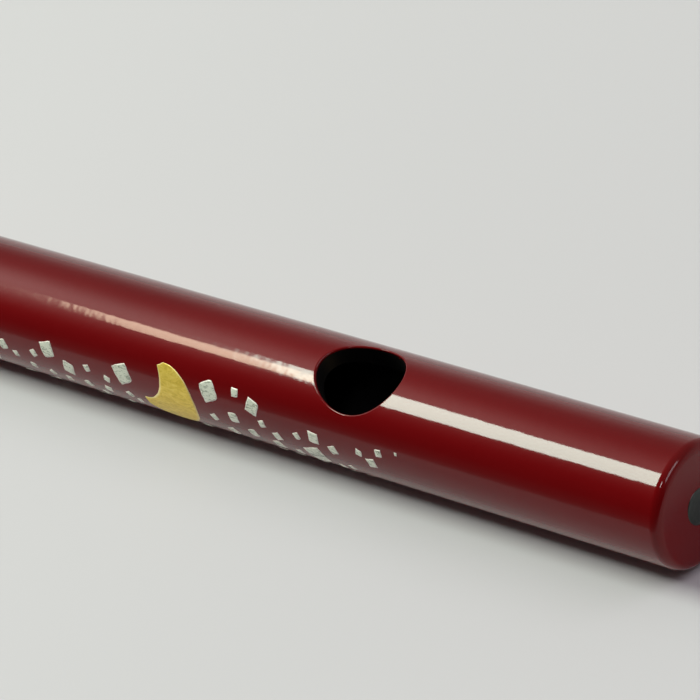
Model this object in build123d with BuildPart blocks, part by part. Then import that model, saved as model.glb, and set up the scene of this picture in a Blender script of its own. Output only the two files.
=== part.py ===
from build123d import *
import math
import os
import random

os.makedirs("parts", exist_ok=True)

# A side-blown bamboo flute in lacquer. It lies along X, with its closed head at +X and its open
# foot at -X. The blow hole and the finger holes look up, along +Z, and the player's side, which
# carries the foil decoration, is -Y. The origin is on the bore's axis, half way along.
# Millimetres throughout.

# ---- driving dimensions ----
flute_length = 390.0
body_d = 19.0
bore_d = 13.0
coat_t = 0.4
lining_t = 0.2

blow_from_head = 58.4
blow_length = 15.4
blow_width = 11.9

finger_count = 7
first_finger_from_blow = 128.0
finger_pitch = 23.5
finger_length = 8.6
finger_width = 7.6

head_rim_round = 1.5
foot_rim_round = 0.6

plug_flange_t = 3.0
plug_spigot_length = 8.0
lining_past_blow = 1.5
stopper_gap = 0.5
stopper_length = 12.0
wax_length = 5.0
weight_d = 8.4

foil_t = 0.08
foil_reach = 1.5
mark_d = 5.6

# The crescent is a round moon less a smaller round bite, both measured on the unrolled surface:
# distance from the head, and way round from the top of the flute towards the player.
moon_from_head = 95.0
moon_round = 13.0
moon_r = 6.0
bite_from_head = 100.5
bite_round = 9.6
bite_r = 4.7
outline_points = 48

# Flakes of leaf, as distance from the head, angle from the top towards the player, width and turn.
# The first list and the next two are the band beside the blow hole, placed one by one.
large_flakes = [
    (104.0, 66, 3.2, 23),
    (85.5, 56.5, 3.1, 23),
    (76.5, 59, 2.3, -20),
    (120.5, 64.5, 2.6, 16),
    (116.5, 79, 2.2, -15),
    (65.5, 97.5, 3.6, 19),
]
medium_flakes = [
    (64.5, 72, 1.9, -6),
    (81, 77.5, 1.8, 5),
    (78, 92, 1.7, 14),
    (83, 101.5, 1.8, 24),
    (72.5, 85, 1.5, 20),
    (73.5, 99.5, 1.9, 12),
    (61, 80, 1.5, 18),
    (53.5, 81.5, 1.6, 12),
    (131, 74, 1.8, 20),
]
small_flakes = [
    (80, 50, 1.3, 2),
    (85.5, 85, 1.3, 25),
    (75, 74.5, 1.2, 15),
    (68, 76, 1.2, 22),
    (55.5, 73, 1.1, -12),
    (51.5, 67, 1.2, 8),
    (48, 62.5, 0.5, 0),
    (69.5, 102, 1.2, 10),
    (59, 101, 1.2, 30),
    (112, 72, 1.2, 18),
    (108, 78, 1.2, -20),
    (124, 73.5, 1.3, 28),
    (128.5, 81.5, 1.1, 10),
    (125.5, 92, 1.2, -8),
    (121.5, 95, 1.2, 35),
    (118, 97, 1.3, 5),
    (113.5, 95, 1.4, 20),
    (109, 93.5, 1.4, -15),
    (104, 91, 1.3, 30),
    (102.5, 98, 1.1, 12),
]

# Beyond it the band runs on towards the finger holes and thins out round the underside.
scatter_seed = 11
far_band = {"from_head": (134, 182), "angle": (56, 100)}
under_band = {"from_head": (56, 178), "angle": (104, 138)}

# ---- worked out from them ----
body_r = body_d / 2
bore_r = bore_d / 2
core_r = body_r - coat_t
lined_r = bore_r + lining_t
head_x = flute_length / 2
foot_x = -flute_length / 2
core_foot_x = foot_x + coat_t
plug_end_x = head_x - coat_t
culm_head_x = plug_end_x - plug_flange_t
blow_x = head_x - blow_from_head
finger_xs = [blow_x - first_finger_from_blow - k * finger_pitch for k in range(finger_count)]

lining_end_x = blow_x + blow_length / 2 + lining_past_blow
stopper_x = lining_end_x + stopper_gap
wax_x = stopper_x + stopper_length
weight_x = wax_x + wax_length
spigot_x = culm_head_x - plug_spigot_length


def save(piece, label):
    """Name a finished piece and write it to its own file."""
    piece.part.label = label
    export_step(piece.part, f"parts/{label}.step")


def rod(radius, start_x, end_x, mode=Mode.ADD):
    """A round bar along the flute's axis, in the part being built."""
    with BuildSketch(Plane.YZ.offset(start_x)) as section:
        Circle(radius)
    extrude(section.sketch, amount=end_x - start_x, mode=mode)


def hole_prisms(grow, top, mode=Mode.SUBTRACT):
    """The blow hole and the finger holes as upright oval prisms from the axis up to a height."""
    with BuildSketch(Plane.XY) as ovals:
        with Locations((blow_x, 0)):
            Ellipse(blow_length / 2 + grow, blow_width / 2 + grow)
        with Locations(*[(x, 0) for x in finger_xs]):
            Ellipse(finger_length / 2 + grow, finger_width / 2 + grow)
    extrude(ovals.sketch, amount=top, mode=mode)


def rounded_rod(radius, start_x, end_x, foot_round, head_round):
    """A round bar along the axis with both of its end edges rounded."""
    with BuildPart() as bar:
        rod(radius, start_x, end_x)
        rims = bar.edges().filter_by(GeomType.CIRCLE).sort_by(Axis.X)
        fillet(rims[-1], radius=head_round)
        fillet(rims[0], radius=foot_round)
    return bar.part


def skin_plane(from_head, angle):
    """The plane that touches the coat at a place: its x towards the head, its y up the side."""
    turn = math.radians(angle)
    out = Vector(0, -math.sin(turn), math.cos(turn))
    return Plane(origin=Vector(head_x - from_head, 0, 0) + out * body_r, x_dir=(1, 0, 0), z_dir=out)


def keep_skin():
    """Cut what has been built down to a leaf of foil lying on the coat."""
    with BuildSketch(Plane.YZ.offset(foot_x)) as leaf:
        Circle(body_r + foil_t)
        Circle(body_r, mode=Mode.SUBTRACT)
    extrude(leaf.sketch, amount=flute_length, mode=Mode.INTERSECT)


def foil_flakes(flakes):
    """Four-sided flakes of leaf on the coat, each a separate solid in one part."""
    with BuildPart() as group:
        for from_head, angle, width, turn in flakes:
            with BuildSketch(skin_plane(from_head, angle)) as flake:
                Rectangle(width, width * 1.05, rotation=turn)
            extrude(flake.sketch, amount=foil_reach, both=True)
        keep_skin()
    return group


def clear_of(from_head, round_mm, width, placed):
    """Is a new flake clear of every flake already placed, and of the crescent?"""
    for other_head, other_angle, other_width, _ in placed:
        other_round = math.radians(other_angle) * body_r
        gap = math.hypot(from_head - other_head, round_mm - other_round)
        if gap < 0.8 * (width + other_width):
            return False
    return math.hypot(from_head - moon_from_head, round_mm - moon_round) > moon_r + width


def scatter(rng, band, width, tries, placed):
    """Flakes thrown over a band of the coat, fewer towards its far end."""
    found = []
    near, far = band["from_head"]
    for _ in range(tries):
        from_head = near + (far - near) * rng.random() ** 1.6
        angle = rng.uniform(*band["angle"])
        size = width * rng.uniform(0.85, 1.15)
        turn = rng.uniform(-30, 40)
        if clear_of(from_head, math.radians(angle) * body_r, size, placed + found):
            found.append((from_head, angle, size, turn))
    return found


# ---- the bamboo tube ----
with BuildPart() as bamboo_culm:
    rod(core_r, core_foot_x, culm_head_x)
    culm_rim = bamboo_culm.edges().filter_by(GeomType.CIRCLE).sort_by(Axis.X)[0]
    fillet(culm_rim, radius=foot_rim_round - coat_t)
    rod(lined_r, core_foot_x, culm_head_x, mode=Mode.SUBTRACT)
    hole_prisms(lining_t, body_r)
save(bamboo_culm, "bamboo_culm")

# ---- black lacquer on the bore, and on the walls of the holes up to the coat's underside ----
with BuildPart() as bore_lining:
    hole_prisms(lining_t, body_r, mode=Mode.ADD)
    rod(core_r, core_foot_x, lining_end_x, mode=Mode.INTERSECT)
    rod(lined_r, core_foot_x, lining_end_x)
    rod(bore_r, core_foot_x, lining_end_x, mode=Mode.SUBTRACT)
    hole_prisms(0, body_r)
save(bore_lining, "bore_lining")

# ---- red lacquer over the outside: closed over the head, turned in at the foot and the holes ----
coat_outside = rounded_rod(body_r, foot_x, head_x, foot_rim_round, head_rim_round)
coat_inside = rounded_rod(core_r, core_foot_x, plug_end_x, foot_rim_round - coat_t, head_rim_round - coat_t)

with BuildPart() as lacquer_coat:
    add(coat_outside)
    add(coat_inside, mode=Mode.SUBTRACT)
    rod(bore_r, foot_x, core_foot_x, mode=Mode.SUBTRACT)
    hole_prisms(0, body_r + 1)
save(lacquer_coat, "lacquer_coat")

# ---- what closes and weighs down the head, from the blow hole outwards ----
with BuildPart() as cork_stopper:
    rod(lined_r, stopper_x, wax_x)
save(cork_stopper, "cork_stopper")

with BuildPart() as wax_seal:
    rod(lined_r, wax_x, weight_x)
save(wax_seal, "wax_seal")

with BuildPart() as counterweight:
    rod(weight_d / 2, weight_x, spigot_x)
save(counterweight, "counterweight")

with BuildPart() as weight_wrap:
    rod(lined_r, weight_x, spigot_x)
    rod(weight_d / 2, weight_x, spigot_x, mode=Mode.SUBTRACT)
save(weight_wrap, "weight_wrap")

with BuildPart() as head_plug:
    rod(core_r, culm_head_x, plug_end_x)
    plug_rim = head_plug.edges().filter_by(GeomType.CIRCLE).sort_by(Axis.X)[-1]
    fillet(plug_rim, radius=head_rim_round - coat_t)
    rod(lined_r, spigot_x, culm_head_x)
save(head_plug, "head_plug")

# ---- a plain painted dot on the end of the head ----
with BuildPart() as end_mark:
    with BuildSketch(Plane.YZ.offset(head_x)):
        Circle(mark_d / 2)
    extrude(amount=foil_t)
save(end_mark, "end_mark")

# ---- the gold crescent, drawn unrolled and laid round the coat ----
moon_angle = math.degrees(moon_round / body_r)


def laid_round(from_head, round_mm):
    """A point of the unrolled surface, on the plane that touches the coat at the moon's middle."""
    return (moon_from_head - from_head, body_r * math.sin((moon_round - round_mm) / body_r))


def disc_outline(from_head, round_mm, radius):
    """A circle of the unrolled surface, on the moon's plane."""
    turns = [2 * math.pi * k / outline_points for k in range(outline_points)]
    return [laid_round(from_head + radius * math.cos(t), round_mm + radius * math.sin(t)) for t in turns]


with BuildPart() as gold_crescent:
    with BuildSketch(skin_plane(moon_from_head, moon_angle)) as crescent:
        Polygon(*disc_outline(moon_from_head, moon_round, moon_r), align=None)
        Polygon(*disc_outline(bite_from_head, bite_round, bite_r), align=None, mode=Mode.SUBTRACT)
    extrude(crescent.sketch, amount=moon_r / 2, both=True)
    keep_skin()
save(gold_crescent, "gold_crescent")

# ---- the flakes ----
rng = random.Random(scatter_seed)
placed = large_flakes + medium_flakes + small_flakes
far_large = scatter(rng, far_band, 2.8, 6, placed)
far_medium = scatter(rng, far_band, 1.8, 14, placed + far_large)
far_small = scatter(rng, far_band, 1.2, 26, placed + far_large + far_medium)
placed += far_large + far_medium + far_small
under_medium = scatter(rng, under_band, 1.7, 14, placed)
under_small = scatter(rng, under_band, 1.2, 30, placed + under_medium)

save(foil_flakes(large_flakes + far_large), "leaf_flakes_large")
save(foil_flakes(medium_flakes + far_medium + under_medium), "leaf_flakes_medium")
save(foil_flakes(small_flakes + far_small + under_small), "leaf_flakes_small")
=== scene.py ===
import math
import random

import bmesh
import bpy
from mathutils import Matrix, Vector, noise


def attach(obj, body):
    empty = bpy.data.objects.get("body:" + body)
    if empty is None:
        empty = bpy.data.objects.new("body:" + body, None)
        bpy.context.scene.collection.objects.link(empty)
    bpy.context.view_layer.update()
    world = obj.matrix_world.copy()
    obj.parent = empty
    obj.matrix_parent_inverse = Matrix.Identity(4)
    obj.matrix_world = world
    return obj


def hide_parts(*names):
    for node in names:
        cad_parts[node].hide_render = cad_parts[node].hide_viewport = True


# The looks of a side-blown bamboo flute in lacquer. The flute lies along X with its closed head at
# +X; its holes look up, and the foil band is on -Y. Lengths are in millimetres, apart from those of
# the lights, of the materials' relief and of how far the camera sees, which are in metres. Angles
# round the tube run from its top (+Z) towards the player's side (-Y).

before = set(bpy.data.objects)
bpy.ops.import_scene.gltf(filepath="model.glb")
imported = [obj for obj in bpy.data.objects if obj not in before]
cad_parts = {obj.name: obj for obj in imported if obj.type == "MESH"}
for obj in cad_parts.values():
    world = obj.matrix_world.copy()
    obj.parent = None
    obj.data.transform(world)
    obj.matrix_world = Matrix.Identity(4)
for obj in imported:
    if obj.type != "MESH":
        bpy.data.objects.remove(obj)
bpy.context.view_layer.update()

MM = 0.001

# ---- the tube, as in the CAD model ----
HEAD_X = 195.0
FOOT_X = -195.0
BODY_R = 9.5
CORE_R = 9.1
BORE_R = 6.5
HEAD_ROUND = 1.5
FOOT_ROUND = 0.6
COAT_T = BODY_R - CORE_R
BLOW_X = 136.6
BLOW_HALF = (7.7, 5.95)
FINGER_COUNT = 7
FIRST_FINGER_X = 8.6
FINGER_PITCH = 23.5
FINGER_XS = [FIRST_FINGER_X - FINGER_PITCH * k for k in range(FINGER_COUNT)]
FINGER_HALF = (4.3, 3.8)
FOIL_T = 0.08
MARK_R = 2.8

# ---- the crescent, on the unrolled surface: distance from the head, and way round from the top ----
MOON = Vector((95.0, 13.0))
MOON_R = 6.0
BITE = Vector((100.5, 9.6))
BITE_R = 4.7

# ---- the coat's skin: its softened edges, and how finely it is meshed ----
LIP_ROUND = 0.33
FOOT_EDGE = 0.06
SEGMENTS = 160
STATION_STEP = 5.0
ROUND_STEPS = 6
CAP_RINGS = (2.0, 4.0, 6.0, 7.6)
INNER_CAP_RINGS = (7.6, 4.0, 2.0)
BLOW_PATCH = {"reach": 4.0, "turns": 24, "steps": 24}
FINGER_PATCH = {"reach": 3.0, "turns": 17, "steps": 16}
PATCH_RINGS = 9
RING_SPREAD = 1.4

# ---- the foil: its grids, torn edges and folds; noise scales are per millimetre ----
WELD = 0.002
FLAKE_CELL = 0.2
FEWEST_CELLS = 6
FLAKE_SEED = 8
CLIPS = (0.0, 0.0, 0.3, 0.5)
CLIP_REACH = 0.24
FLAKE_TEAR = 0.09
FLAKE_TEAR_SCALE = 1.7
CRESCENT_GRID = (84, 16)
TIP_BLUNT = 0.05
CRESCENT_TEAR = 0.07
CRESCENT_TEAR_SCALE = 1.1
CRESCENT_DRIFT = 3.0
LEAF_LEVEL = 0.42
FOLD_ALONG = (0.7, 0.35)
FOLD_ACROSS = (-0.5, 1.9)
FOLD_HEIGHT = 1.1
GRAIN_SCALES = (3.1, 4.3)
GRAIN_HEIGHT = 0.22
DRIFT_STEP = 7.3
FOIL_GAP = 0.006
RIM_SHARE = 0.3
LEAF_SHARES = (0.35, 0.62)

# ---- the painted dot ----
MARK_GRID = (48, 7)
MARK_GAP = 0.005
MARK_WANDER = 0.05
MARK_WANDER_SCALE = 1.4
MARK_DRIFT = 5.0
MARK_DOME = 0.8
MARK_DOME_POWER = 5


def tube_point(x, angle, radius):
    """A point in millimetres, by its place along the tube, its angle and its radius."""
    return Vector((x, -radius * math.sin(angle), radius * math.cos(angle)))


def outward(angle):
    """The direction away from the axis at an angle."""
    return Vector((0, -math.sin(angle), math.cos(angle)))


def make_object(name, points, faces, normals=None):
    """A smooth mesh object in metres from points in millimetres, its faces turned outwards."""
    mesh = bpy.data.meshes.new(name)
    mesh.from_pydata([p * MM for p in points], [], faces)
    bm = bmesh.new()
    bm.from_mesh(mesh)
    bmesh.ops.recalc_face_normals(bm, faces=bm.faces)
    for face in bm.faces:
        face.smooth = True
    bm.to_mesh(mesh)
    bm.free()
    if normals is not None:
        mesh.normals_split_custom_set_from_vertices([tuple(n) for n in normals])
    obj = bpy.data.objects.new(name, mesh)
    bpy.context.scene.collection.objects.link(obj)
    return obj


# ---- the lacquer coat: one closed shell with oval holes and softly rounded lips ----
class Hole:
    """An oval hole and the patch of the unrolled surface that is meshed in rings round it."""

    def __init__(self, x, half, patch):
        self.x, self.half = x, half
        self.reach = half[0] + patch["reach"]
        self.turns, self.steps = patch["turns"], patch["steps"]

    def rim(self, theta, grow, radius):
        """The unrolled place (x, angle) of the rim, grown by so much, on a given radius."""
        side = (self.half[1] + grow) * math.sin(theta) / radius
        return self.x + (self.half[0] + grow) * math.cos(theta), math.asin(side)

    def inward(self, theta):
        """The level direction from the rim towards the middle of the hole."""
        out = Vector((math.cos(theta) / self.half[0], -math.sin(theta) / self.half[1], 0))
        return -out.normalized()


def skin_stations(holes):
    """The places along the straight part of the skin where its loops lie."""
    in_order = sorted(holes, key=lambda h: h.x)
    stops = [FOOT_X + FOOT_ROUND]
    for hole in in_order:
        stops += [hole.x - hole.reach, hole.x + hole.reach]
    stops.append(HEAD_X - HEAD_ROUND)
    found = []
    for k, (low, high) in enumerate(zip(stops, stops[1:])):
        over_hole = k % 2 == 1
        if over_hole:
            count = in_order[k // 2].steps
        else:
            count = max(1, round((high - low) / STATION_STEP))
        found += [low + (high - low) * i / count for i in range(count)]
    return found + [stops[-1]]


def build_coat(holes):
    """The shell's points, faces and normals."""
    points, normals, faces, index = [], [], [], {}
    turn = 2 * math.pi / SEGMENTS
    stations = skin_stations(holes)

    def vertex(key, point, normal):
        if key not in index:
            index[key] = len(points)
            points.append(point)
            normals.append(normal.normalized())
        return index[key]

    def corner_loop(x, radius, big, sign_x, inner):
        """Places and normals round a rounded rim, from the flat end to the straight side."""
        steps = []
        flip = -1 if inner else 1
        for k in range(ROUND_STEPS + 1):
            a = math.pi / 2 * (1 - k / ROUND_STEPS)
            place = (x + sign_x * big * math.sin(a), radius - big + big * math.cos(a))
            steps.append((place, (flip * sign_x * math.sin(a), flip * math.cos(a))))
        return steps

    head_out = corner_loop(HEAD_X - HEAD_ROUND, BODY_R, HEAD_ROUND, 1, False)
    foot_out = corner_loop(FOOT_X + FOOT_ROUND, BODY_R, FOOT_ROUND, -1, False)
    head_in = corner_loop(HEAD_X - HEAD_ROUND, CORE_R, HEAD_ROUND - COAT_T, 1, True)
    foot_in = corner_loop(FOOT_X + FOOT_ROUND, CORE_R, FOOT_ROUND - COAT_T, -1, True)
    core_foot = FOOT_X + COAT_T
    plug_end = HEAD_X - COAT_T
    cap = [((HEAD_X, r), (1, 0)) for r in CAP_RINGS]
    foot_face = [
        ((FOOT_X, BORE_R + FOOT_EDGE), (-1, 0)),
        ((FOOT_X + FOOT_EDGE / 3, BORE_R + FOOT_EDGE / 3), (-1, -1)),
        ((FOOT_X + FOOT_EDGE, BORE_R), (0, -1)),
        ((core_foot - FOOT_EDGE, BORE_R), (0, -1)),
        ((core_foot, BORE_R + FOOT_EDGE), (1, 0)),
    ]
    inner_cap = [((plug_end, r), (-1, 0)) for r in INNER_CAP_RINGS]
    outer_side = [((x, BODY_R), (0, 1)) for x in reversed(stations[1:-1])]
    inner_side = [((x, CORE_R), (0, -1)) for x in stations[1:-1]]
    profile = cap + head_out + outer_side + foot_out[::-1] + foot_face
    first_outer = len(cap) + len(head_out) - 1
    profile += foot_in
    first_inner = len(profile) - 1
    profile += inner_side + head_in[::-1] + inner_cap

    def lathe_vertex(i, j):
        (x, r), (nx, nr) = profile[i]
        a = (j % SEGMENTS) * turn
        return vertex((i, j % SEGMENTS), tube_point(x, a, r), Vector((nx, 0, 0)) + outward(a) * nr)

    last = len(stations) - 1
    cut = set()
    patches = []
    for hole in holes:
        low = min(range(len(stations)), key=lambda i: abs(stations[i] - hole.x + hole.reach))
        high = min(range(len(stations)), key=lambda i: abs(stations[i] - hole.x - hole.reach))
        for base, way, radius in ((first_outer + last, -1, BODY_R), (first_inner, 1, CORE_R)):
            rows = [base + way * i for i in range(low, high + 1)]
            for row in range(min(rows), max(rows)):
                for j in range(-hole.turns, hole.turns):
                    cut.add((row, j % SEGMENTS))
            patches.append((hole, rows, radius))

    for i in range(len(profile) - 1):
        for j in range(SEGMENTS):
            if (i, j) not in cut:
                ring = [(i, j), (i, j + 1), (i + 1, j + 1), (i + 1, j)]
                faces.append([lathe_vertex(*c) for c in ring])
    for i, x, nx in ((0, HEAD_X, 1), (len(profile) - 1, plug_end, -1)):
        middle = vertex(("cap", i), Vector((x, 0, 0)), Vector((nx, 0, 0)))
        for j in range(SEGMENTS):
            faces.append([middle, lathe_vertex(i, j), lathe_vertex(i, j + 1)])

    def join(loop_a, loop_b):
        count = len(loop_a)
        for k in range(count):
            faces.append([loop_a[k], loop_a[(k + 1) % count], loop_b[(k + 1) % count], loop_b[k]])

    def boundary(hole, rows):
        """The patch's edge on the grid, once round, as (row, turn) with its bearing."""
        t = hole.turns
        ring = [(rows[-1], j) for j in range(-t, t)]
        ring += [(row, t) for row in reversed(rows[1:])]
        ring += [(rows[0], j) for j in range(t, -t, -1)]
        ring += [(row, -t) for row in rows[:-1]]
        found = []
        for row, j in ring:
            u = (profile[row][0][0] - hole.x) / hole.reach
            found.append((row, j, math.atan2(j / t, u)))
        return found

    walls = {}
    for number, (hole, rows, radius) in enumerate(patches):
        ring = boundary(hole, rows)
        sign = 1 if radius == BODY_R else -1
        lip = LIP_ROUND if radius == BODY_R else 0.0
        before = [lathe_vertex(row, j) for row, j, _ in ring]
        for s in range(PATCH_RINGS, -1, -1):
            share = (s / PATCH_RINGS) ** RING_SPREAD
            loop = []
            for k, (row, j, theta) in enumerate(ring):
                x, a = hole.rim(theta, lip, radius)
                x += (profile[row][0][0] - x) * share
                a += (j * turn - a) * share
                if s == PATCH_RINGS:
                    loop.append(before[k])
                else:
                    key = ("patch", number, s, k)
                    loop.append(vertex(key, tube_point(x, a, radius), outward(a) * sign))
            if s < PATCH_RINGS:
                join(before, loop)
            before = loop
        if radius == BODY_R:
            for s in range(1, ROUND_STEPS + 1):
                b = math.pi / 2 * s / ROUND_STEPS
                loop = []
                for k, (_, _, theta) in enumerate(ring):
                    r = BODY_R - lip * (1 - math.cos(b))
                    x, a = hole.rim(theta, lip * (1 - math.sin(b)), r)
                    normal = outward(a) * math.cos(b) + hole.inward(theta) * math.sin(b)
                    loop.append(vertex(("lip", number, s, k), tube_point(x, a, r), normal))
                join(before, loop)
                before = loop
            walls[hole.x] = before
        else:
            join(walls[hole.x], before)
    return points, faces, normals


# ---- the foil: thin crumpled leaves, worked out on the unrolled surface ----
def unrolled_pieces(node):
    """The outer points of each separate piece of a CAD node, unrolled, in millimetres."""
    bm = bmesh.new()
    bm.from_mesh(node.data)
    bmesh.ops.remove_doubles(bm, verts=bm.verts, dist=WELD * MM)
    bm.verts.ensure_lookup_table()
    bm.verts.index_update()
    seen = [False] * len(bm.verts)
    pieces = []
    for start in bm.verts:
        if seen[start.index]:
            continue
        seen[start.index] = True
        reached = [start]
        for vert in reached:
            for edge in vert.link_edges:
                other = edge.other_vert(vert)
                if not seen[other.index]:
                    seen[other.index] = True
                    reached.append(other)
        places = [v.co / MM for v in reached]
        outer = [p for p in places if math.hypot(p.y, p.z) > BODY_R + FOIL_T / 2]
        pieces.append([Vector((p.x, BODY_R * math.atan2(-p.y, p.z))) for p in outer])
    bm.free()
    return pieces


def four_corners(points):
    """The corners of a four-sided piece, in order round it."""
    middle = sum(points, Vector((0, 0))) / len(points)
    first = max(points, key=lambda p: (p - middle).length)
    third = max(points, key=lambda p: (p - first).length)
    sides = sorted(points, key=lambda p: (third - first).cross(p - first))
    return [first, sides[-1], third, sides[0]]


def flake_grid(points, rng):
    """A grid over a flake, with torn edges and some of its corners clipped."""
    a, b, c, d = four_corners(points)
    count = max(FEWEST_CELLS, round((b - a).length / FLAKE_CELL))
    clips = [rng.choice(CLIPS) for _ in range(4)]
    drift = rng.uniform(0, 100)
    middle = (a + b + c + d) / 4
    grid = []
    for i in range(count + 1):
        row = []
        for j in range(count + 1):
            u, v = i / count, j / count
            p = (a * (1 - u) + b * u) * (1 - v) + (d * (1 - u) + c * u) * v
            offsets = ((u, v), (1 - u, v), (1 - u, 1 - v), (u, 1 - v))
            for corner, clip, (along, across) in zip((a, b, c, d), clips, offsets):
                near = max(0.0, 1 - along / CLIP_REACH) * max(0.0, 1 - across / CLIP_REACH)
                p = p + (middle - corner) * clip * CLIP_REACH * near
            spot = Vector((p.x * FLAKE_TEAR_SCALE, p.y * FLAKE_TEAR_SCALE, drift))
            shake = noise.noise_vector(spot)
            row.append(p + Vector((shake.x, shake.y)) * FLAKE_TEAR)
        grid.append(row)
    return grid


def crescent_grid():
    """A grid between the moon's edge and the bite's edge, from tip to tip."""
    apart = BITE - MOON
    heading = math.atan2(apart.y, apart.x)
    d = apart.length
    from_moon = math.acos((d * d + MOON_R**2 - BITE_R**2) / (2 * d * MOON_R))
    from_bite = math.acos((d * d + BITE_R**2 - MOON_R**2) / (2 * d * BITE_R))
    rows, across = CRESCENT_GRID
    grid = []
    for i in range(rows + 1):
        share = TIP_BLUNT + (1 - 2 * TIP_BLUNT) * i / rows
        t = heading + from_moon + 2 * (math.pi - from_moon) * share
        s = heading + math.pi - from_bite + 2 * from_bite * share
        outer = MOON + Vector((math.cos(t), math.sin(t))) * MOON_R
        inner = BITE + Vector((math.cos(s), math.sin(s))) * BITE_R
        row = []
        for j in range(across + 1):
            p = inner.lerp(outer, j / across)
            spot = Vector((p.x * CRESCENT_TEAR_SCALE, p.y * CRESCENT_TEAR_SCALE, CRESCENT_DRIFT))
            shake = noise.noise_vector(spot) * CRESCENT_TEAR
            row.append(Vector((HEAD_X - p.x + shake.x, p.y + shake.y)))
        grid.append(row)
    return grid


def crumple(p, drift):
    """How high a leaf stands at an unrolled place, from 0 to 1: soft folds with sharper creases."""
    lengthwise = p.x * FOLD_ALONG[0] + p.y * FOLD_ALONG[1]
    crosswise = p.x * FOLD_ACROSS[0] + p.y * FOLD_ACROSS[1]
    fold = abs(noise.noise(Vector((lengthwise, crosswise, drift))))
    fine = noise.noise(Vector((p.x * GRAIN_SCALES[0], p.y * GRAIN_SCALES[1], drift)))
    return min(1.0, max(0.0, LEAF_LEVEL + FOLD_HEIGHT * fold + GRAIN_HEIGHT * fine))


def foil_body(grids):
    """Closed thin bodies over grids of unrolled places: points, faces, and 1 for each rim point."""
    points, faces, on_rim = [], [], []
    least, more = LEAF_SHARES
    for number, grid in enumerate(grids):
        rows, cols = len(grid), len(grid[0])
        start = len(points)
        for level in (0, 1):
            for i in range(rows):
                for j in range(cols):
                    p = grid[i][j]
                    steps_in = min(i, j, rows - 1 - i, cols - 1 - j)
                    rise = FOIL_GAP
                    if level == 1 and steps_in == 0:
                        rise = FOIL_T * RIM_SHARE
                    elif level == 1:
                        rise = FOIL_T * (least + more * crumple(p, DRIFT_STEP * number))
                    points.append(tube_point(p.x, p.y / BODY_R, BODY_R + rise))
                    on_rim.append(1.0 if steps_in == 0 else 0.0)

        def corner(level, i, j):
            return start + (level * rows + i) * cols + j

        for level in (0, 1):
            for i in range(rows - 1):
                for j in range(cols - 1):
                    ring = [(i, j), (i + 1, j), (i + 1, j + 1), (i, j + 1)]
                    faces.append([corner(level, *c) for c in ring])
        edge = [(i, 0) for i in range(rows)] + [(rows - 1, j) for j in range(1, cols)]
        edge += [(i, cols - 1) for i in range(rows - 2, -1, -1)] + [(0, j) for j in range(cols - 2, 0, -1)]
        for here, there in zip(edge, edge[1:] + edge[:1]):
            faces.append([corner(0, *here), corner(0, *there), corner(1, *there), corner(1, *here)])
    return points, faces, on_rim


def make_foil(name, grids, material, node):
    """A piece of foil that stands for a CAD node, with its rims marked for the material's painted
    highlight.
    """
    points, faces, on_rim = foil_body(grids)
    obj = make_object(name, points, faces)
    marks = obj.data.attributes.new("rim", "FLOAT", "POINT")
    marks.data.foreach_set("value", on_rim)
    finish_piece(obj, material, node)


def mark_body():
    """A dot of thick paint on the head's flat end, with a slightly uneven edge."""
    turns, rings = MARK_GRID
    scale = MARK_WANDER_SCALE
    points, faces = [], []
    for level in (0, 1):
        points.append(Vector((HEAD_X + (FOIL_T if level else MARK_GAP), 0, 0)))
        for ring in range(1, rings + 1):
            share = ring / rings
            for k in range(turns):
                t = 2 * math.pi * k / turns
                wander = noise.noise(Vector((math.cos(t) * scale, math.sin(t) * scale, MARK_DRIFT)))
                r = share * (MARK_R - MARK_WANDER + MARK_WANDER * wander)
                rise = FOIL_T * (1 - MARK_DOME * share**MARK_DOME_POWER) if level else MARK_GAP
                points.append(Vector((HEAD_X + rise, r * math.cos(t), r * math.sin(t))))
    size = 1 + turns * rings
    for base in (0, size):
        for k in range(turns):
            after = (k + 1) % turns
            faces.append([base, base + 1 + k, base + 1 + after])
            for ring in range(rings - 1):
                low, high = base + 1 + ring * turns, base + 1 + (ring + 1) * turns
                faces.append([low + k, high + k, high + after, low + after])
    rim = 1 + (rings - 1) * turns
    for k in range(turns):
        after = (k + 1) % turns
        faces.append([rim + k, rim + after, size + rim + after, size + rim + k])
    return points, faces


# ---- materials ----
def node_material(name):
    """A new node material, its node tree, its shader and its object coordinates."""
    material = bpy.data.materials.new(name)
    material.use_nodes = True
    tree = material.node_tree
    shader = tree.nodes["Principled BSDF"]
    place = tree.nodes.new("ShaderNodeTexCoord")
    return material, tree, shader, place.outputs["Object"]


def stretched(tree, place, scale):
    """Object coordinates scaled by different amounts along each axis."""
    mapping = tree.nodes.new("ShaderNodeMapping")
    mapping.inputs["Scale"].default_value = scale
    tree.links.new(place, mapping.inputs["Vector"])
    return mapping.outputs["Vector"]


def noise_texture(tree, vector, scale, detail=2.0, grain_roughness=0.5, distortion=0.0):
    """A noise texture's value."""
    texture = tree.nodes.new("ShaderNodeTexNoise")
    texture.inputs["Scale"].default_value = scale
    texture.inputs["Detail"].default_value = detail
    texture.inputs["Roughness"].default_value = grain_roughness
    texture.inputs["Distortion"].default_value = distortion
    tree.links.new(vector, texture.inputs["Vector"])
    return texture.outputs["Fac"]


def ramp(tree, value, stops):
    """A colour ramp from (position, colour) stops."""
    node = tree.nodes.new("ShaderNodeValToRGB")
    elements = node.color_ramp.elements
    while len(elements) > len(stops):
        elements.remove(elements[-1])
    while len(elements) < len(stops):
        elements.new(1.0)
    for element, (position, colour) in zip(elements, stops):
        element.position = position
        element.color = (*colour, 1.0)
    tree.links.new(value, node.inputs["Fac"])
    return node.outputs["Color"]


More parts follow.
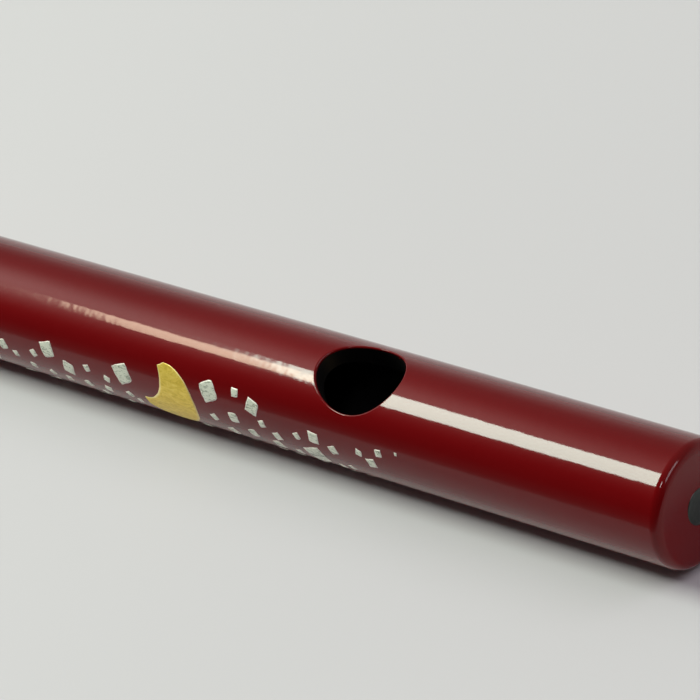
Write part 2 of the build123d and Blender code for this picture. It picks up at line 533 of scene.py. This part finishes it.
def bump(tree, shader, height, distance, before=None):
    """Adds a bump to a shader, over an earlier one if given, and returns its normal."""
    node = tree.nodes.new("ShaderNodeBump")
    node.inputs["Distance"].default_value = distance
    node.inputs["Strength"].default_value = 1.0
    tree.links.new(height, node.inputs["Height"])
    if before is not None:
        tree.links.new(before, node.inputs["Normal"])
    tree.links.new(node.outputs["Normal"], shader.inputs["Normal"])
    return node.outputs["Normal"]


def scaled(tree, value, low, high):
    """A value from 0 to 1 mapped onto another range."""
    node = tree.nodes.new("ShaderNodeMapRange")
    node.inputs["To Min"].default_value = low
    node.inputs["To Max"].default_value = high
    tree.links.new(value, node.inputs["Value"])
    return node.outputs["Result"]


def grained(name, stops, roughness, relief, stretch=(1.0, 1.0, 1.0), **grain):
    """A material whose colour and relief follow one noise texture."""
    material, tree, shader, place = node_material(name)
    value = noise_texture(tree, stretched(tree, place, stretch), **grain)
    tree.links.new(ramp(tree, value, stops), shader.inputs["Base Color"])
    shader.inputs["Roughness"].default_value = roughness
    bump(tree, shader, value, relief)
    return material


def red_lacquer():
    """Deep red under a clear gloss coat; the coat carries the ripples and brush marks."""
    material, tree, shader, place = node_material("red_lacquer")
    along = stretched(tree, place, (0.25, 1.0, 1.0))
    cloud = noise_texture(tree, along, scale=60.0, detail=3.0)
    tone = ramp(tree, cloud, [(0.3, (0.142, 0.0018, 0.0030)), (0.7, (0.170, 0.0024, 0.0038))])
    tree.links.new(tone, shader.inputs["Base Color"])
    shader.inputs["Metallic"].default_value = 0.6
    shader.inputs["Roughness"].default_value = 0.75
    shader.inputs["Specular IOR Level"].default_value = 0.0
    shader.inputs["Coat Weight"].default_value = 1.0
    shader.inputs["Coat Roughness"].default_value = 0.075
    shader.inputs["Coat IOR"].default_value = 1.335
    ripple_height = noise_texture(tree, along, scale=190.0, detail=2.0)
    brush_height = noise_texture(tree, place, scale=560.0, detail=1.0)
    ripple = bump(tree, shader, ripple_height, distance=0.00003)
    brush = bump(tree, shader, brush_height, distance=0.000013, before=ripple)
    tree.links.new(brush, shader.inputs["Coat Normal"])
    return material


def black_lacquer():
    """Black lacquer inside the bore, unevenly glossy."""
    material, tree, shader, place = node_material("black_lacquer")
    patchy = noise_texture(tree, place, scale=220.0, detail=3.0)
    tone = ramp(tree, patchy, [(0.3, (0.0012, 0.0012, 0.0013)), (0.7, (0.003, 0.0028, 0.0028))])
    tree.links.new(tone, shader.inputs["Base Color"])
    tree.links.new(scaled(tree, patchy, low=0.35, high=0.5), shader.inputs["Roughness"])
    bump(tree, shader, noise_texture(tree, place, scale=900.0), distance=0.00002)
    return material


def bamboo():
    """Pale bamboo with long fine fibres."""
    stops = [(0.25, (0.42, 0.26, 0.10)), (0.75, (0.66, 0.48, 0.24))]
    grain = {"scale": 1400.0, "detail": 4.0, "grain_roughness": 0.6}
    return grained("bamboo", stops, 0.55, 0.00006, stretch=(0.03, 1.0, 1.0), **grain)


def plug_wood():
    """Brown wood with a wavy grain."""
    stops = [(0.3, (0.24, 0.12, 0.05)), (0.7, (0.42, 0.25, 0.12))]
    grain = {"scale": 700.0, "detail": 4.0, "grain_roughness": 0.6, "distortion": 0.4}
    return grained("plug_wood", stops, 0.65, 0.00005, stretch=(0.1, 1.0, 0.5), **grain)


def cork():
    """Speckled cork."""
    stops = [(0.3, (0.16, 0.08, 0.035)), (0.5, (0.45, 0.27, 0.13)), (0.75, (0.55, 0.36, 0.2))]
    grain = {"scale": 900.0, "detail": 5.0, "grain_roughness": 0.7, "distortion": 0.6}
    return grained("cork", stops, 0.85, 0.00012, **grain)


def wax():
    """Amber wax with a soft, uneven surface."""
    stops = [(0.3, (0.42, 0.24, 0.07)), (0.7, (0.56, 0.36, 0.13))]
    return grained("wax", stops, 0.4, 0.0001, scale=350.0, detail=3.0)


def weight_iron():
    """Dull iron with spots of rust."""
    material, tree, shader, place = node_material("weight_iron")
    spots = noise_texture(tree, place, scale=1200.0, detail=5.0, grain_roughness=0.65)
    stops = [(0.35, (0.18, 0.17, 0.165)), (0.62, (0.32, 0.30, 0.29)), (0.8, (0.22, 0.1, 0.05))]
    tree.links.new(ramp(tree, spots, stops), shader.inputs["Base Color"])
    tree.links.new(scaled(tree, spots, low=0.35, high=0.7), shader.inputs["Roughness"])
    shader.inputs["Metallic"].default_value = 0.9
    bump(tree, shader, spots, distance=0.00003)
    return material


def wrap_paper():
    """Off-white paper with visible fibres."""
    stops = [(0.3, (0.62, 0.57, 0.46)), (0.7, (0.78, 0.74, 0.64))]
    grain = {"scale": 1600.0, "detail": 5.0, "grain_roughness": 0.7, "distortion": 0.8}
    return grained("wrap_paper", stops, 0.9, 0.00005, stretch=(0.4, 1.0, 1.0), **grain)


def dark_paint():
    """Green-black paint."""
    stops = [(0.3, (0.006, 0.010, 0.007)), (0.7, (0.014, 0.020, 0.015))]
    return grained("dark_paint", stops, 0.3, 0.00003, scale=1500.0, detail=3.0)


def leaf(name, stops, rim_highlight_tone, scale, roughness, metallic):
    """Metal leaf: crumpled, darker where its crinkles sink, which is painted shade in the creases along
    with the leaf's own uneven tone, and with a lighter tone along its torn rim, which is a painted
    highlight.
    """
    material, tree, shader, place = node_material(name)
    grain = {"scale": scale, "detail": 4.0, "grain_roughness": 0.6, "distortion": 1.2}
    crinkle = noise_texture(tree, stretched(tree, place, (0.6, 1.0, 1.8)), **grain)
    rim = tree.nodes.new("ShaderNodeAttribute")
    rim.attribute_name = "rim"
    mix = tree.nodes.new("ShaderNodeMix")
    mix.data_type = "RGBA"
    tree.links.new(rim.outputs["Fac"], mix.inputs["Factor"])
    # The crinkle noise also sets the bump, so the ramp's darker stops lie in the creases: painted shade,
    # along with the leaf's own uneven tone.
    tree.links.new(ramp(tree, crinkle, stops), mix.inputs["A"])
    # The rim's own tone is a painted highlight along the torn edges.
    mix.inputs["B"].default_value = (*rim_highlight_tone, 1.0)
    tree.links.new(mix.outputs["Result"], shader.inputs["Base Color"])
    shader.inputs["Metallic"].default_value = metallic
    tree.links.new(scaled(tree, crinkle, *roughness), shader.inputs["Roughness"])
    bump(tree, shader, crinkle, distance=0.00006)
    return material


materials = {
    "red_lacquer": red_lacquer(),
    "black_lacquer": black_lacquer(),
    "bamboo": bamboo(),
    "plug_wood": plug_wood(),
    "cork": cork(),
    "wax": wax(),
    "weight_iron": weight_iron(),
    "wrap_paper": wrap_paper(),
    "dark_paint": dark_paint(),
    # Each leaf's darker stops are painted shade in its creases, and its rim tone is a painted highlight
    # along its torn edges.
    "gold_leaf": leaf(
        "gold_leaf",
        [(0.3, (0.66, 0.44, 0.04)), (0.5, (0.82, 0.58, 0.09)), (0.7, (0.90, 0.68, 0.16))],
        rim_highlight_tone=(0.88, 0.70, 0.36),
        scale=900.0,
        roughness=(0.35, 0.55),
        metallic=0.4,
    ),
    "silver_leaf": leaf(
        "silver_leaf",
        [(0.38, (0.28, 0.30, 0.24)), (0.47, (0.70, 0.71, 0.61)), (0.7, (0.80, 0.80, 0.71))],
        rim_highlight_tone=(0.84, 0.74, 0.70),
        scale=1400.0,
        roughness=(0.4, 0.6),
        metallic=0.3,
    ),
}


def finish_piece(obj, material, *nodes):
    """Gives a piece its material, its place in the model and the CAD nodes it stands for."""
    obj.data.materials.clear()
    obj.data.materials.append(materials[material])
    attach(obj, "root")
    if nodes:
        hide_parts(*nodes)


# ---- the pieces kept from the CAD model ----
KEPT = {
    "bamboo_culm": "bamboo",
    "bore_lining": "black_lacquer",
    "head_plug": "plug_wood",
    "cork_stopper": "cork",
    "wax_seal": "wax",
    "counterweight": "weight_iron",
    "weight_wrap": "wrap_paper",
}
for node, material in KEPT.items():
    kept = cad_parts[node]
    kept.data.materials.clear()
    kept.data.materials.append(materials[material])

# ---- the coat ----
holes = [Hole(BLOW_X, BLOW_HALF, BLOW_PATCH)]
holes += [Hole(x, FINGER_HALF, FINGER_PATCH) for x in FINGER_XS]
coat = make_object("coat_skin", *build_coat(holes))
finish_piece(coat, "red_lacquer", "lacquer_coat")

# ---- the foil and the painted dot ----
make_foil("crescent_leaf", [crescent_grid()], "gold_leaf", "gold_crescent")
rng = random.Random(FLAKE_SEED)
for size in ("large", "medium", "small"):
    node = f"leaf_flakes_{size}"
    grids = [flake_grid(piece, rng) for piece in unrolled_pieces(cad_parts[node])]
    make_foil(f"flakes_{size}", grids, "silver_leaf", node)
finish_piece(make_object("end_dot", *mark_body()), "dark_paint", "end_mark")

# ---- the floor ----
FLOOR_Z = -BODY_R
FLOOR_HALF = 3000.0
floor_mesh = bpy.data.meshes.new("floor")
corners = [(x * FLOOR_HALF, y * FLOOR_HALF) for x, y in ((-1, -1), (1, -1), (1, 1), (-1, 1))]
floor_mesh.from_pydata([Vector((x, y, FLOOR_Z)) * MM for x, y in corners], [], [(0, 1, 2, 3)])
floor = bpy.data.objects.new("floor", floor_mesh)
bpy.context.scene.collection.objects.link(floor)
floor_material, floor_tree, floor_shader, floor_place = node_material("pale_floor")
floor_cloud = noise_texture(floor_tree, floor_place, scale=4.0, detail=2.0)
floor_stops = [(0.3, (0.598, 0.560, 0.598)), (0.7, (0.623, 0.585, 0.623))]
floor_tree.links.new(ramp(floor_tree, floor_cloud, floor_stops), floor_shader.inputs["Base Color"])
floor_shader.inputs["Roughness"].default_value = 0.9
floor_shader.inputs["Specular IOR Level"].default_value = 0.1
floor_mesh.materials.append(floor_material)

# ---- the lights, in metres: a soft box over the foot's side with a dimmer, warmer one beyond its
# end, a large fill and a small light from above ----
LIT_POINT = Vector((0.12, 0.0, 0.0))


def area_light(name, toward, away, size, colour, radiance, along=0.0):
    """A rectangular light that faces LIT_POINT from a direction, moved sideways in its own plane."""
    data = bpy.data.lights.new(name, "AREA")
    data.shape = "RECTANGLE"
    data.size, data.size_y = size
    data.color = colour
    data.energy = radiance * math.pi * size[0] * size[1]
    toward = toward.normalized()
    side = Vector((0, 1, 0)).cross(toward).normalized()
    turned = Matrix((side, toward.cross(side), toward)).transposed().to_4x4()
    light = bpy.data.objects.new(name, data)
    light.matrix_world = Matrix.Translation(LIT_POINT + toward * away + side * along) @ turned
    bpy.context.scene.collection.objects.link(light)


def lit_from(tilt_x, tilt_y):
    """The direction that leans from straight up by these angles, in degrees, towards +X and -Y."""
    return Vector((math.tan(math.radians(tilt_x)), -math.tan(math.radians(tilt_y)), 1.0)).normalized()


area_light(
    "softbox",
    lit_from(-34.0, 6.0),
    away=1.15,
    size=(0.309, 0.40),
    colour=(0.83, 1.0, 0.86),
    radiance=26.0,
    along=0.0255,
)
area_light(
    "softbox_end",
    lit_from(-42.0, 7.8),
    away=1.16,
    size=(0.105, 0.22),
    colour=(1.0, 0.80, 0.57),
    radiance=17.5,
)
area_light(
    "fill",
    lit_from(50.0, -22.0),
    away=1.6,
    size=(0.4, 0.9),
    colour=(0.97, 0.93, 1.0),
    radiance=5.0,
)
area_light(
    "top",
    lit_from(22.0, 13.0),
    away=1.6,
    size=(0.25, 0.22),
    colour=(1.0, 1.0, 1.0),
    radiance=15.0,
)

# ---- the room: its brightness by how far a direction leans from straight up towards -Y, in
# degrees, and a broad glow round one direction ----
ROOM = [(-180, 0.6), (-90, 0.6), (-80, 0.38), (-68, 0.26), (-35, 0.27), (-10, 0.22), (13, 0.05)]
ROOM += [(40, 0.015), (66, 0.015), (82, 0.12), (90, 0.3), (180, 0.3)]
ROOM_TINT = (1.0, 1.0, 0.96)
GLOW = 2.7
GLOW_POWER = 22.0
GLOW_STRENGTH = 2.0
GLOW_TINT = (1.0, 0.97, 0.90)
GLOW_TOWARD = lit_from(-50.0, -6.0)


def math_node(tree, operation, first, second):
    """A math node on two inputs, each a number or another node's output."""
    node = tree.nodes.new("ShaderNodeMath")
    node.operation = operation
    for socket, value in zip(node.inputs, (first, second)):
        if isinstance(value, float):
            socket.default_value = value
        else:
            tree.links.new(value, socket)
    return node.outputs["Value"]


def background(tree, colour, strength):
    """A background shader of a linked colour."""
    node = tree.nodes.new("ShaderNodeBackground")
    tree.links.new(colour, node.inputs["Color"])
    node.inputs["Strength"].default_value = strength
    return node.outputs["Background"]


def room_shade(tree, place):
    """The room's colour by how far a direction leans from straight up towards -Y."""
    parts = tree.nodes.new("ShaderNodeSeparateXYZ")
    tree.links.new(place, parts.inputs["Vector"])
    towards_player = math_node(tree, "MULTIPLY", parts.outputs["Y"], -1.0)
    lean = math_node(tree, "ARCTAN2", towards_player, parts.outputs["Z"])
    turns = math_node(tree, "MULTIPLY", lean, 0.5 / math.pi)
    share = math_node(tree, "ADD", turns, 0.5)
    stops = [((d + 180) / 360, tuple(value * t for t in ROOM_TINT)) for d, value in ROOM]
    return ramp(tree, share, stops)


def glow_shade(tree, place):
    """The glow's colour, which fades away from GLOW_TOWARD."""
    facing = tree.nodes.new("ShaderNodeVectorMath")
    facing.operation = "DOT_PRODUCT"
    facing.inputs[1].default_value = GLOW_TOWARD
    tree.links.new(place, facing.inputs[0])
    ahead = math_node(tree, "MAXIMUM", facing.outputs["Value"], 0.0)
    glow = math_node(tree, "POWER", ahead, GLOW_POWER)
    brightest = tuple(GLOW * t / GLOW_STRENGTH for t in GLOW_TINT)
    return ramp(tree, glow, [(0.0, (0.0, 0.0, 0.0)), (1.0, brightest)])


def make_room():
    """The world: the room's shades with the glow added to them."""
    world = bpy.data.worlds.new("room")
    world.use_nodes = True
    tree = world.node_tree
    place = tree.nodes.new("ShaderNodeTexCoord").outputs["Generated"]
    both = tree.nodes.new("ShaderNodeAddShader")
    tree.links.new(background(tree, room_shade(tree, place), 1.0), both.inputs[0])
    tree.links.new(background(tree, glow_shade(tree, place), GLOW_STRENGTH), both.inputs[1])
    tree.links.new(both.outputs["Shader"], tree.nodes["World Output"].inputs["Surface"])
    return world


bpy.context.scene.world = make_room()
bpy.context.scene.view_settings.view_transform = "Standard"

# ---- the camera, where the photograph was taken from ----
CAMERA_PLACE = Vector((518.22, -219.45, 418.88))
CAMERA_RIGHT = Vector((0.74038, 0.53563, -0.40614))
CAMERA_DOWN = Vector((0.21298, -0.75999, -0.61405))
CAMERA_AHEAD = Vector((-0.63756, 0.36812, -0.67676))
camera_data = bpy.data.cameras.new("camera")
camera_data.sensor_width = 36.0
camera_data.lens = 212.2
camera_data.clip_end = 20.0
camera = bpy.data.objects.new("camera", camera_data)
axes = Matrix((CAMERA_RIGHT, -CAMERA_DOWN, -CAMERA_AHEAD)).transposed().to_4x4()
camera.matrix_world = Matrix.Translation(CAMERA_PLACE * MM) @ axes
bpy.context.scene.collection.objects.link(camera)
bpy.context.scene.camera = camera
